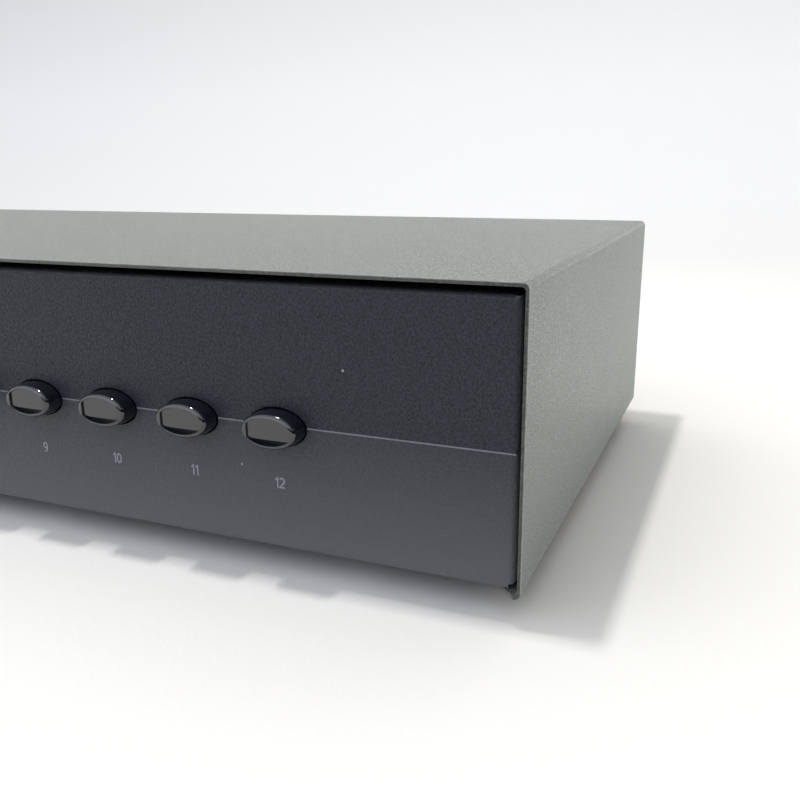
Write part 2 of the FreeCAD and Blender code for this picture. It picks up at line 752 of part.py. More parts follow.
# ---- Nodes --------------------------------------------------------------------
def save_case():
    save("top_cover", make_cover())
    save("chassis", make_chassis())
    save("rear_panel", make_rear_panel())
    foot = make_foot()
    save("rubber_feet", [placed(foot, point) for point in foot_points()])
    seat = foot_recess_depth - chassis_bottom
    save("foot_screws", [placed(screw(foot_screw_length), point + Z_AXIS * seat, -Z_AXIS)
                         for point in foot_points()])
    save("cover_screws", [placed(screw(cover_screw_length), point, -Z_AXIS)
                          for point in cover_screw_points()])
    save("rear_panel_screws", [placed(screw(rear_screw_length), point, Y_AXIS)
                               for point in rear_screw_points()])


def save_buttons():
    cap = make_cap()
    plunger = make_plunger()
    spring = make_spring()
    for number, x in enumerate(button_xs, start=1):
        aside = Vector(x, 0, 0)
        save(f"button_cap_{number:02d}", placed(cap, aside))
        save(f"switch_plunger_{number:02d}", placed(plunger, aside))
        save(f"return_spring_{number:02d}", spring.translated(aside))


def save_switch_bank():
    save("switch_rail", make_rail())
    save("rail_screws", [placed(screw(rail_screw_length), point, -Z_AXIS) for point in rail_screw_points()])
    housing = make_housing()
    save("switch_housings", [placed(housing, Vector(x, 0, 0)) for x in button_xs])
    latch = make_latch_wire()
    save("latch_wires", [latch.translated(Vector(x, 0, 0)) for x in button_xs])
    save("switch_pins", [pin for x in button_xs for pin in make_pins(x)])
    save("switch_board", make_switch_board())
    standoff = make_standoff()
    save("board_standoffs", [placed(standoff, Vector(x, y, chassis_floor)) for x, y in standoff_points()])
    board_screw = screw(board_screw_length)
    save("board_screws", [placed(board_screw, Vector(x, y, board_top)) for x, y in standoff_points()])
    save("standoff_screws", [placed(board_screw, Vector(x, y, chassis_bottom), -Z_AXIS)
                             for x, y in standoff_points()])
    ribbon_xs = button_xs + [button_xs[0] - input_ribbon_offset]
    save("wire_ribbons", [make_ribbon(x) for x in ribbon_xs])


def save_terminals():
    save("terminal_strips", [make_strip(z) for z in strip_zs])
    terminal_screw = screw(terminal_shank_length, terminal_shank_radius,
                           terminal_head_radius, terminal_head_height)
    clamp = make_clamp()
    faces = [Vector(x, strip_back, z) for x in terminal_xs for z in strip_zs]
    save("terminal_clamps", [placed(clamp, face, Y_AXIS) for face in faces])
    save("terminal_screws", [placed(terminal_screw, face + Y_AXIS * clamp_thickness, Y_AXIS)
                             for face in faces])
    save("terminal_tags", make_tags())
    save("terminal_board", make_terminal_board())
    save("strip_screws", [placed(screw(strip_screw_length), point, Y_AXIS) for point in strip_screw_points()])
    nut = make_nut()
    nut_y = rear_inner - nut_height
    save("strip_nuts", [nut.translated(Vector(point.x, nut_y, point.z)) for point in strip_screw_points()])


os.makedirs("parts", exist_ok=True)
save_case()
save_buttons()
save_switch_bank()
save_terminals()
print(f"overall depth {overall_depth:.2f}, cover front at y = {cover_front:.2f}, "
      f"button axis at z = {button_z:.2f}")
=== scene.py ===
# %% [markdown]
# # A speaker selector switch, dressed for its picture
#
# The object is a low steel case, the standard width of a piece of hi-fi. Twelve
# black push buttons stand in a row across its front and screw terminals for the
# loudspeakers cover its back. The construction model already holds every piece
# at its real size, so this script gives the pieces their finish, adds the
# printing, and replaces only the button caps and the return springs with
# smoother meshes. Everything is in metres, in the construction model's frame.

import json
import math

import bmesh
import bpy
from mathutils import Matrix, Vector


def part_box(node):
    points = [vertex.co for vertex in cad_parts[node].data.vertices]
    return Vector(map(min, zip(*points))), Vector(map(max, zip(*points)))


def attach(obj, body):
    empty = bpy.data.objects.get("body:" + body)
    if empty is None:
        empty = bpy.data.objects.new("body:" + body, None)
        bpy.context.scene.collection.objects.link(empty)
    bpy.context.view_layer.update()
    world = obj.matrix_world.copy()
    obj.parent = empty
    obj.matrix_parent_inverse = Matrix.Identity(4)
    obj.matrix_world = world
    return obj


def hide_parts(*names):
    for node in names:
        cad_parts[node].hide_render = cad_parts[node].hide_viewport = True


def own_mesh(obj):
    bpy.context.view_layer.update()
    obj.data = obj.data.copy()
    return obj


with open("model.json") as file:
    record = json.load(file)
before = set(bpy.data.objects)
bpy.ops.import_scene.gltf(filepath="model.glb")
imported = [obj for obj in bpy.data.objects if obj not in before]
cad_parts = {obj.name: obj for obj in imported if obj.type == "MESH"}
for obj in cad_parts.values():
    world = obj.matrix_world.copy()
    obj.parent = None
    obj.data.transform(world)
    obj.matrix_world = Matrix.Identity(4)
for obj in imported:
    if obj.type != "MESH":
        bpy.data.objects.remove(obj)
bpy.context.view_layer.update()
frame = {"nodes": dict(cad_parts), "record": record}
MM = 0.001
nodes = frame["nodes"]

# %% [markdown]
# ## Reading the sizes from the model
#
# A print or a replaced cap has to follow the steel that carries it. Its place is
# therefore worked out from the boxes of the construction model's nodes, and not
# typed in twice: if the case changes, the printing moves with it.

# %% Places that the rest of the script uses
cover_low, cover_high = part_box("top_cover")
chassis_low, chassis_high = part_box("chassis")
rear_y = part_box("rear_panel")[1][1]
CAP_NAMES = sorted(name for name in nodes if name.startswith("button_cap_"))
cap_boxes = [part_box(name) for name in CAP_NAMES]
cap_low, cap_high = cap_boxes[0]
panel_y = chassis_low[1]
button_xs = [(low[0] + high[0]) / 2 for low, high in cap_boxes]
button_z = (cap_low[2] + cap_high[2]) / 2
print("panel at y", round(panel_y, 5), "buttons at z", round(button_z, 5))

# %% [markdown]
# ## The camera
#
# The view is from the front right and a little above, close to the corner, so
# the lens is fairly wide. The camera's place is given from the case's lower
# front right corner, so the view stays on that corner if the case changes. A
# camera looks along its own -Z with +Y up, so its three axes can be written
# straight into a matrix.

# %% Camera
CAMERA_FROM_CORNER = Vector((45.42, -180.12, 103.07)) * MM
CAMERA_RIGHT = Vector((0.921936, 0.387201, -0.010508))
CAMERA_UP = Vector((-0.097162, 0.257435, 0.961398))
LENS_MM = 38.38
SENSOR_WIDTH_MM = 36.0
CLIP_START = 0.01


def make_camera():
    """The camera, placed from the case's lower front right corner."""
    corner = Vector((cover_high[0], cover_low[1], cover_low[2]))
    data = bpy.data.cameras.new("picture_camera")
    data.lens = LENS_MM
    data.sensor_width = SENSOR_WIDTH_MM
    data.clip_start = CLIP_START
    camera = bpy.data.objects.new("picture_camera", data)
    bpy.context.scene.collection.objects.link(camera)
    backward = CAMERA_RIGHT.cross(CAMERA_UP)
    turn = Matrix((CAMERA_RIGHT, CAMERA_UP, backward)).transposed().to_4x4()
    camera.matrix_world = Matrix.Translation(corner + CAMERA_FROM_CORNER) @ turn
    return camera


bpy.context.scene.camera = make_camera()
bpy.context.scene.view_settings.view_transform = "Standard"
print("camera at", [round(v, 4) for v in bpy.context.scene.camera.location])

# %% [markdown]
# ## A few helpers for materials
#
# Every finish below is a small node tree. These helpers add a node, set its
# named values and join sockets, so that each material reads as a list of what
# is done to the surface rather than as wiring. A noise texture seldom leaves
# the middle of its range, so most materials spread that middle part out.

# %% Node helpers
MIX_INPUTS = (0, 6, 7)
MIX_OUTPUT = 2
NOISE_RANGE = {"from_min": 0.3, "from_max": 0.7}


def add(tree, kind, **values):
    """A new node. Values name its properties, or its input sockets with _ for a space."""
    node = tree.nodes.new(kind)
    sockets = {socket.name.lower().replace(" ", "_"): socket for socket in reversed(node.inputs)}
    for name, value in values.items():
        if name in sockets:
            sockets[name].default_value = value
        else:
            setattr(node, name, value)
    return node


def join(tree, *pairs):
    """Join each output socket to the input socket beside it."""
    for output, target in pairs:
        tree.links.new(output, target)


def calculate(tree, operation, *terms, **values):
    """The result of a Math node. Each term is a number or an output socket."""
    node = add(tree, "ShaderNodeMath", operation=operation, **values)
    for target, term in zip(node.inputs, terms):
        if isinstance(term, float):
            target.default_value = term
        else:
            tree.links.new(term, target)
    return node.outputs[0]


def spread(tree, value, **limits):
    """A value moved from one range to another. A limit left out is 0 or 1."""
    node = add(tree, "ShaderNodeMapRange", **limits)
    tree.links.new(value, node.inputs["Value"])
    return node.outputs[0]


def mix(tree, share, first, second, **values):
    """A mix of two colours. Share and colours are values or output sockets."""
    node = add(tree, "ShaderNodeMix", data_type="RGBA", **values)
    for index, term in zip(MIX_INPUTS, (share, first, second)):
        if isinstance(term, (float, tuple)):
            node.inputs[index].default_value = term
        else:
            tree.links.new(term, node.inputs[index])
    return node.outputs[MIX_OUTPUT]


def bump(tree, height, shader, distance, strength=1.0):
    """Let a height bend the shader's normals. The distance is the relief in metres."""
    node = add(tree, "ShaderNodeBump", strength=strength, distance=distance)
    join(tree, (height, node.inputs["Height"]), (node.outputs[0], shader.inputs["Normal"]))


def new_group(name, inputs, outputs):
    """An empty node group with float or colour sockets, and its two end nodes."""
    group = bpy.data.node_groups.new(name, "ShaderNodeTree")
    for title, value in inputs.items():
        kind = "NodeSocketFloat" if isinstance(value, float) else "NodeSocketColor"
        socket = group.interface.new_socket(title, in_out="INPUT", socket_type=kind)
        socket.default_value = value
    for title, kind in outputs.items():
        group.interface.new_socket(title, in_out="OUTPUT", socket_type=kind)
    return group, group.nodes.new("NodeGroupInput"), group.nodes.new("NodeGroupOutput")


def place(tree, group, **values):
    """A node group placed in a material with its own values."""
    node = tree.nodes.new("ShaderNodeGroup")
    node.node_tree = group
    for name, value in values.items():
        node.inputs[name.replace("_", " ").capitalize()].default_value = value
    return node


def shader_of(material, **values):
    """The material's Principled shader, with some of its uniform values set."""
    shader = material.node_tree.nodes["Principled BSDF"]
    for title, value in values.items():
        shader.inputs[title.replace("_", " ").title().replace("Ior", "IOR")].default_value = value
    return shader


def new_material(name, **values):
    """A material with one Principled shader, whose uniform values are set on it."""
    material = bpy.data.materials.new(name)
    material.use_nodes = True
    return material, material.node_tree, shader_of(material, **values)


def grey(value):
    """A plain grey."""
    return (value, value, value, 1.0)


def object_point(tree):
    """The point of the surface in the object's own metres."""
    return add(tree, "ShaderNodeTexCoord").outputs["Object"]


# %% [markdown]
# ## Grain: the sandy skin of powder coat
#
# Powder coat melts from dry grains, and on equipment cases it is made to stay
# pebbly. Up close the surface is a field of low rounded bumps about half a
# millimetre apart, with a finer crackle over them. A bump map is enough here:
# the relief is about a tenth of a millimetre, far below the outline. The
# group puts out the height, a slow blotch that makes the gloss less even, and a
# speckle of about a grain's size for the colour.

# %% Node group: grain
def make_grain_group():
    """Height of a pebbly skin, a slow blotch and a speckle, from the place on the object."""
    group, start, end = new_group(
        "pebbled_grain", {"Scale": 1600.0, "Fine scale": 5200.0, "Fine share": 0.35},
        {"Height": "NodeSocketFloat", "Blotch": "NodeSocketFloat", "Speckle": "NodeSocketFloat"})
    pebbles = add(group, "ShaderNodeTexVoronoi", feature="SMOOTH_F1", smoothness=0.6)
    fine = add(group, "ShaderNodeTexNoise", detail=2.0, roughness=0.55)
    blotch = add(group, "ShaderNodeTexNoise", scale=26.0, detail=3.0, roughness=0.6)
    salt = add(group, "ShaderNodeTexNoise", detail=1.0)
    place_on_object = object_point(group)
    for texture in (pebbles, fine, blotch, salt):
        join(group, (place_on_object, texture.inputs["Vector"]))
    height = calculate(group, "MULTIPLY_ADD", fine.outputs["Fac"], start.outputs["Fine share"],
                       pebbles.outputs["Distance"])
    speckle = spread(group, salt.outputs["Fac"], from_min=0.32, from_max=0.68)
    join(group,
         (start.outputs["Scale"], pebbles.inputs["Scale"]),
         (start.outputs["Scale"], salt.inputs["Scale"]),
         (start.outputs["Fine scale"], fine.inputs["Scale"]),
         (height, end.inputs["Height"]), (blotch.outputs["Fac"], end.inputs["Blotch"]),
         (speckle, end.inputs["Speckle"]))
    return group


GRAIN = make_grain_group()
print("node group:", GRAIN.name)

# %% [markdown]
# ## Dust: a few pale specks
#
# A used case is never quite clean: single pale specks sit here and there. They
# are the middles of the cells of a Voronoi texture. Each cell has a random
# colour of its own, and only the few whose red is high keep their speck.

# %% Node group: dust specks
def make_speck_group():
    """A mask that is 1 on small scattered specks."""
    group, start, end = new_group(
        "dust_specks", {"Scale": 160.0, "Size": 0.055, "Rarity": 0.62}, {"Mask": "NodeSocketFloat"})
    cells = add(group, "ShaderNodeTexVoronoi", feature="F1")
    chance = add(group, "ShaderNodeSeparateColor")
    join(group, (object_point(group), cells.inputs["Vector"]),
         (start.outputs["Scale"], cells.inputs["Scale"]), (cells.outputs["Color"], chance.inputs["Color"]))
    dot = calculate(group, "LESS_THAN", cells.outputs["Distance"], start.outputs["Size"])
    kept = calculate(group, "GREATER_THAN", chance.outputs["Red"], start.outputs["Rarity"])
    join(group, (calculate(group, "MULTIPLY", dot, kept), end.inputs["Mask"]))
    return group


SPECKS = make_speck_group()
print("node group:", SPECKS.name)

# %% [markdown]
# ## The front panel's two tones, and painted bounce light
#
# The front panel comes in two tones that meet at the buttons: dark above, and
# below a lighter grey. Below the line the grey also gets paler towards the
# lower edge; that part is painted light, standing for the bright cloth in front
# that lights the lower panel. Here it is a mask made from the height on the
# panel, so it stays in place from every side.

# %% Node group: the panel's lower tone and its painted bounce light
LINE_ABOVE_BUTTONS = 0.5 * MM
FACE_DEPTH = 3.0 * MM
TONE_AT_LINE = 0.2


def make_tone_group():
    """A mask for the panel's front below the line: the lower tone at the line, rising to 1 at the lower
    edge as painted bounce light.
    """
    group, start, end = new_group(
        "lower_tone", {"Line height": button_z + LINE_ABOVE_BUTTONS, "Edge height": chassis_low[2],
                       "Face limit": panel_y + FACE_DEPTH, "Tone at line": TONE_AT_LINE},
        {"Mask": "NodeSocketFloat"})
    axes = add(group, "ShaderNodeSeparateXYZ")
    # Painted bounce light: the mask rises from the line to 1 at the lower edge.
    painted_bounce_fade = add(group, "ShaderNodeMapRange", to_max=1.0)
    join(group, (object_point(group), axes.inputs[0]), (axes.outputs["Z"], painted_bounce_fade.inputs["Value"]),
         (start.outputs["Line height"], painted_bounce_fade.inputs["From Min"]),
         (start.outputs["Edge height"], painted_bounce_fade.inputs["From Max"]),
         (start.outputs["Tone at line"], painted_bounce_fade.inputs["To Min"]))
    below = calculate(group, "LESS_THAN", axes.outputs["Z"], start.outputs["Line height"])
    front = calculate(group, "LESS_THAN", axes.outputs["Y"], start.outputs["Face limit"])
    on_front = calculate(group, "MULTIPLY", below, front)
    join(group, (calculate(group, "MULTIPLY", on_front, painted_bounce_fade.outputs[0]), end.inputs["Mask"]))
    return group


LOWER_TONE_AND_BOUNCE_LIGHT = make_tone_group()
print("node group:", LOWER_TONE_AND_BOUNCE_LIGHT.name)

# %% [markdown]
# ## Painted highlights on the front edges
#
# The front edge of the cover and the top bend of the panel catch the light on
# their rounded edges, so they look lighter than the faces beside them. That
# highlight is painted into the colour here. The mask is high where a point is
# close to the front and also close to the top or to a side. It fades within a
# given width, and a noise breaks it up along the edge.

# %% Node group: painted highlights on the front edges
COVER_HIGHLIGHT_WIDTH = 0.32 * MM
FRONT_HIGHLIGHT_WIDTH = 1.3 * MM
# Colours of the painted highlights on the cover's front edge and on the panel's bends.
COVER_EDGE_HIGHLIGHT = grey(0.38)
FRONT_EDGE_HIGHLIGHT = grey(0.10)


def make_edge_group():
    """A mask for a painted highlight, highest on an edge between the front and the top or a side."""
    group, start, end = new_group(
        "edge_wear", {"Front": cover_low[1], "Top": cover_high[2], "Side": cover_high[0],
                      "Width": COVER_HIGHLIGHT_WIDTH},
        {"Mask": "NodeSocketFloat"})
    place_on_object = object_point(group)
    axes = add(group, "ShaderNodeSeparateXYZ")
    broken = add(group, "ShaderNodeTexNoise", scale=300.0, detail=2.0)
    join(group, (place_on_object, axes.inputs[0]), (place_on_object, broken.inputs["Vector"]))

    def nearness(place_socket, edge):
        """1 on the edge, falling to 0 at the width on either side of it."""
        gap = calculate(group, "SUBTRACT", place_socket, start.outputs[edge])
        share = calculate(group, "DIVIDE", calculate(group, "ABSOLUTE", gap), start.outputs["Width"])
        return calculate(group, "SUBTRACT", 1.0, share, use_clamp=True)

    from_middle = calculate(group, "ABSOLUTE", axes.outputs["X"])
    either = calculate(group, "MAXIMUM", nearness(axes.outputs["Z"], "Top"), nearness(from_middle, "Side"))
    both = calculate(group, "MULTIPLY", nearness(axes.outputs["Y"], "Front"), either)
    amount = spread(group, broken.outputs["Fac"], to_min=0.6, to_max=1.0, **NOISE_RANGE)
    join(group, (calculate(group, "MULTIPLY", both, amount), end.inputs["Mask"]))
    return group


PAINTED_EDGE_HIGHLIGHT = make_edge_group()
print("node group:", PAINTED_EDGE_HIGHLIGHT.name)

# %% [markdown]
# ## The charcoal powder coat
#
# The paint is nearly black when looked at squarely, and turns into a soft grey
# at a low angle, because every pebble mirrors a bit of the bright room. A dark
# base colour, a middling roughness and the bump give most of that, and on the
# cover a little sheen stands for the pebbles that rise into the view at a very
# low angle. A speckle makes the colour and the gloss uneven from grain to grain.
# The front panel is bluer and has its two tones, with painted bounce light
# making the lower one paler towards its lower edge, and the back has a closer
# grain.

# %% Powder coat
FINE_PER_PEBBLE = 3.1
GLOSS_PER_SPECKLE = 0.2
BLOTCH_GLOSS = 0.02
DUST = grey(0.3)
# Colour of the lower tone, which also carries the painted bounce light towards the lower edge.
LOWER_COAT_WITH_PAINTED_BOUNCE = (0.085, 0.089, 0.100, 1.0)


def make_powder_coat(name, colour, roughness, grain_scale, relief, rarity, ior, speckle):
    """Textured paint. relief is the height of the grain in metres, speckle how uneven it looks."""
    material, tree, shader = new_material(name, ior=ior)
    grain = place(tree, GRAIN, scale=grain_scale, fine_scale=grain_scale * FINE_PER_PEBBLE)
    specks = place(tree, SPECKS, rarity=rarity)
    shade = spread(tree, grain.outputs["Speckle"], to_min=1 - speckle, to_max=1 + speckle)
    speckled = mix(tree, 1.0, colour, shade, blend_type="MULTIPLY")
    dusty = mix(tree, specks.outputs["Mask"], speckled, DUST)
    swing = GLOSS_PER_SPECKLE * speckle
    uneven = spread(tree, grain.outputs["Speckle"], to_min=roughness + swing, to_max=roughness - swing)
    worn = spread(tree, grain.outputs["Blotch"], to_min=-BLOTCH_GLOSS, to_max=BLOTCH_GLOSS, **NOISE_RANGE)
    join(tree, (dusty, shader.inputs["Base Color"]),
         (calculate(tree, "ADD", uneven, worn), shader.inputs["Roughness"]))
    bump(tree, grain.outputs["Height"], shader, relief)
    return material


def add_tone(material, group, colour, **values):
    """Mix a colour into the paint's base colour where a group's mask says so."""
    tree = material.node_tree
    base = shader_of(material).inputs["Base Color"]
    mask = place(tree, group, **values).outputs["Mask"]
    join(tree, (mix(tree, mask, base.links[0].from_socket, colour), base))


COVER_PAINT = make_powder_coat(
    "charcoal_cover_paint", (0.026, 0.028, 0.026, 1.0), roughness=0.34, grain_scale=1600.0,
    relief=1.1e-4, rarity=0.93, ior=1.6, speckle=0.75)
shader_of(COVER_PAINT, sheen_weight=0.46, sheen_tint=(0.92, 1.0, 0.92, 1.0),
          specular_tint=(0.955, 1.0, 0.965, 1.0))
# Painted highlight along the cover's front edges.
add_tone(COVER_PAINT, PAINTED_EDGE_HIGHLIGHT, COVER_EDGE_HIGHLIGHT, width=COVER_HIGHLIGHT_WIDTH)

PANEL_PAINT = make_powder_coat(
    "charcoal_panel_paint", (0.018, 0.019, 0.022, 1.0), roughness=0.5, grain_scale=1900.0,
    relief=7e-5, rarity=0.93, ior=1.5, speckle=0.5)

FRONT_PAINT = make_powder_coat(
    "charcoal_front_paint", (0.0115, 0.0133, 0.0225, 1.0), roughness=0.5, grain_scale=1600.0,
    relief=1.2e-4, rarity=0.88, ior=1.45, speckle=0.6)
# Two-tone paint below the line, paler towards the lower edge as painted bounce light.
add_tone(FRONT_PAINT, LOWER_TONE_AND_BOUNCE_LIGHT, LOWER_COAT_WITH_PAINTED_BOUNCE)
# Painted highlight along the panel's top and side bends.
add_tone(FRONT_PAINT, PAINTED_EDGE_HIGHLIGHT, FRONT_EDGE_HIGHLIGHT, front=panel_y, top=chassis_high[2],
         side=chassis_high[0], width=FRONT_HIGHLIGHT_WIDTH)
print("paints:", COVER_PAINT.name, PANEL_PAINT.name, FRONT_PAINT.name)

# %% [markdown]
# ## Plastics, rubber and metals
#
# The caps are polished black plastic, so almost all that shows is reflection.
# The terminal strips are black plastic too, with the dull skin of a moulding.
# The screws are plated, with the mottling that a plating bath leaves: a small
# change in gloss and in brightness from place to place.

# %% Small finishes
MOULD_GRAIN = 2600.0
FINE_PER_MOULD_GRAIN = 2.3
MOULD_SWING = 0.05
LEAST_ROUGHNESS = 0.02
PLATED_TONES = (0.88, 1.08)
PLATED_SWING = (-0.08, 0.1)
POLISHED_IOR = 1.78


def make_moulded(name, colour, roughness, relief):
    """Plastic or rubber with the fine skin that its mould left."""
    material, tree, shader = new_material(name, base_color=colour)
    grain = place(tree, GRAIN, scale=MOULD_GRAIN, fine_scale=MOULD_GRAIN * FINE_PER_MOULD_GRAIN,
                  fine_share=0.6)
    gloss = spread(tree, grain.outputs["Blotch"], to_min=max(roughness - MOULD_SWING, LEAST_ROUGHNESS),
                   to_max=roughness + MOULD_SWING, **NOISE_RANGE)
    join(tree, (gloss, shader.inputs["Roughness"]))
    bump(tree, grain.outputs["Height"], shader, relief)
    return material


def make_plated(name, colour, roughness):
    """Plated metal, a little mottled."""
    material, tree, shader = new_material(name, metallic=1.0)
    mottle = place(tree, GRAIN, scale=900.0, fine_scale=4000.0)
    tone = spread(tree, mottle.outputs["Blotch"], to_min=PLATED_TONES[0], to_max=PLATED_TONES[1],
                  **NOISE_RANGE)
    gloss = spread(tree, mottle.outputs["Height"], to_min=roughness + PLATED_SWING[0],
                   to_max=roughness + PLATED_SWING[1])
    join(tree, (mix(tree, 1.0, colour, tone, blend_type="MULTIPLY"), shader.inputs["Base Color"]),
         (gloss, shader.inputs["Roughness"]))
    return material


CAP_BLACK = make_moulded(
    "polished_black_plastic", (0.004, 0.005, 0.010, 1.0), roughness=0.11, relief=1e-6)
shader_of(CAP_BLACK, ior=POLISHED_IOR)
STRIP_BLACK = make_moulded("moulded_black_plastic", grey(0.018), roughness=0.42, relief=1.5e-5)
FOOT_RUBBER = make_moulded("black_rubber", grey(0.014), roughness=0.75, relief=3e-5)
NATURAL_PLASTIC = make_moulded("natural_plastic", (0.62, 0.60, 0.54, 1.0), roughness=0.4, relief=5e-6)
RIBBON_GREY = make_moulded("ribbon_insulation", grey(0.3), roughness=0.5, relief=1e-5)
ZINC = make_plated("zinc_plate", (0.72, 0.73, 0.74, 1.0), roughness=0.3)
NICKEL = make_plated("nickel_plate", (0.70, 0.66, 0.58, 1.0), roughness=0.24)
BLACKED_STEEL = make_plated("blacked_steel", (0.05, 0.05, 0.052, 1.0), roughness=0.38)
TIN = make_plated("tin_plate", (0.74, 0.74, 0.72, 1.0), roughness=0.35)
SPRING_STEEL = make_plated("spring_steel", (0.55, 0.55, 0.56, 1.0), roughness=0.25)
print("materials so far:", len(bpy.data.materials))

# %% [markdown]
# ## Board laminate
#
# The boards inside are paper laminate, tan with a cloudy brown figure. A noise
# stretched along the board's length gives the streaks of the paper.

# %% Board laminate
STREAKS_PER_METRE = (18.0, 160.0, 160.0)
LAMINATE_DARK = (0.30, 0.19, 0.07, 1.0)
LAMINATE_LIGHT = (0.46, 0.32, 0.14, 1.0)


def make_laminate():
    """Tan paper laminate with long soft streaks."""
    material, tree, shader = new_material("paper_laminate", roughness=0.45)
    stretch = add(tree, "ShaderNodeMapping", scale=STREAKS_PER_METRE)
    streaks = add(tree, "ShaderNodeTexNoise", scale=1.0, detail=4.0, roughness=0.6)
    colours = add(tree, "ShaderNodeValToRGB")
    for element, colour in zip(colours.color_ramp.elements, (LAMINATE_DARK, LAMINATE_LIGHT)):
        element.color = colour
    join(tree, (object_point(tree), stretch.inputs["Vector"]),
         (stretch.outputs[0], streaks.inputs["Vector"]), (streaks.outputs["Fac"], colours.inputs["Fac"]),
         (colours.outputs[0], shader.inputs["Base Color"]))
    return material


LAMINATE = make_laminate()
print("laminate:", LAMINATE.name)

# %% [markdown]
# ## Dressing the construction pieces
#
# The construction model's own meshes keep their shape and only get a finish.
# One table names the material of each node, and the numbered ones, such as the
# plungers, are found by the start of their names.

# %% Materials on the nodes
FINISHES = {
    "top_cover": COVER_PAINT, "chassis": FRONT_PAINT, "rear_panel": PANEL_PAINT,
    "rubber_feet": FOOT_RUBBER, "foot_screws": ZINC, "cover_screws": BLACKED_STEEL,
    "rear_panel_screws": BLACKED_STEEL, "switch_rail": ZINC, "rail_screws": ZINC,
    "switch_housings": STRIP_BLACK, "latch_wires": SPRING_STEEL, "switch_pins": TIN,
    "switch_board": LAMINATE, "board_standoffs": NICKEL, "board_screws": ZINC,
    "standoff_screws": ZINC, "wire_ribbons": RIBBON_GREY, "terminal_strips": STRIP_BLACK,
    "terminal_screws": NICKEL, "terminal_clamps": NICKEL, "terminal_tags": TIN,
    "terminal_board": LAMINATE, "strip_screws": ZINC, "strip_nuts": ZINC,
    "switch_plunger": NATURAL_PLASTIC, "return_spring": SPRING_STEEL, "button_cap": CAP_BLACK,
}


def dress(name):
    """Give a node the finish that the table names for it, or for its numbered kind."""
    kind = name if name in FINISHES else name.rsplit("_", 1)[0]
    piece = nodes[name]
    if not piece.material_slots:
        piece.data.materials.append(FINISHES[kind])
    for slot in piece.material_slots:
        slot.material = FINISHES[kind]


for node_name in nodes:
    dress(node_name)
print("dressed nodes:", len(nodes))

# %% [markdown]
# ## The button caps
#
# A cap is an oval plug with a rounded rim. Its front holds a shallow window with
# straight ends, and under a straight chord the window's floor slopes inward to
# make room for a fingertip. Polished plastic shows every facet, so the caps are
# built again here with more and smaller steps than the construction mesh has,
# and with a rim that is a little wider and rounder. All rings share one list of
# angles, which makes the faces between two rings plain quads. The window's
# straight ends come from the same ring: points that would lie too far out are
# moved in to the end.

# %% From a shape to a mesh to a piece
def mesh_data(name, shape, sharp_angle=None):
    """The mesh of a finished shape, smooth up to an angle in degrees where one is given."""
    data = bpy.data.meshes.new(name)
    shape.to_mesh(data)
    shape.free()
    if sharp_angle:
        data.shade_smooth()
        data.set_sharp_from_angle(angle=math.radians(sharp_angle))
    return data


def mesh_object(name, data, material, body="case"):
    """A mesh as a named piece that rides on a body."""
    piece = bpy.data.objects.new(name, data)
    bpy.context.scene.collection.objects.link(piece)
    piece.data.materials.append(material)
    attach(piece, body)
    return piece


# %% Cap sizes
CAP_HALF = ((cap_high[0] - cap_low[0]) / 2, (cap_high[2] - cap_low[2]) / 2)
CAP_FRONT = cap_low[1]
CAP_BACK = cap_high[1]
CAP_TAPER = 0.47 * MM
CAP_EDGE_RADIUS = 1.2 * MM
CAP_RIM = 1.0 * MM
CAP_WALL = 1.2 * MM
CAP_ROOF = 2.4 * MM
WINDOW_HALF_WIDTH = 6.2 * MM
WINDOW_DEPTH = 0.6 * MM
WINDOW_LIP = 0.08 * MM
CHORD_DROP = 2.0 * MM
SCOOP_DEPTH = 0.9 * MM
ROD_HALF = 2.55 * MM
CAP_RING_STEPS = 96
CAP_EDGE_STEPS = 6
CAP_SHARP_ANGLE = 32
SAME_LEVEL = 0.001 * MM
WINDOW_HALF = tuple(half - CAP_TAPER - CAP_RIM for half in CAP_HALF)
print("cap half sizes in mm:", [round(half / MM, 2) for half in CAP_HALF])


# %% Cap rings
def cap_angles():
    """Even steps round the oval, and the corners of the window's straight ends and chord."""
    angles = [2 * math.pi * step / CAP_RING_STEPS for step in range(CAP_RING_STEPS)]
    end = math.acos(WINDOW_HALF_WIDTH / WINDOW_HALF[0])
    chord = math.asin(CHORD_DROP / WINDOW_HALF[1])
    for corner in (end, math.pi - end, math.pi + end, 2 * math.pi - end,
                   math.pi + chord, 2 * math.pi - chord):
        nearest = min(angles, key=lambda angle: abs(angle - corner))
        angles[angles.index(nearest)] = corner
    return sorted(angles)


CAP_ANGLES = cap_angles()


def oval_ring(half, y):
    """Points of an upright oval about the button axis."""
    return [(half[0] * math.cos(angle), y, half[1] * math.sin(angle)) for angle in CAP_ANGLES]


def window_ring(outset, depth):
    """Points of the window's outline, moved out by outset and back by a depth or a function."""
    points = []
    for x, y, z in oval_ring([half + outset for half in WINDOW_HALF], CAP_FRONT):
        end = WINDOW_HALF_WIDTH + outset
        points.append((max(-end, min(end, x)), y + (depth(z) if callable(depth) else depth), z))
    return points


def window_floor_depth(z):
    """The window's floor: flat above the chord, and sloping inward below it."""
    below = max(0.0, -CHORD_DROP - z) / (WINDOW_HALF[1] - CHORD_DROP)
    return WINDOW_DEPTH + SCOOP_DEPTH * below


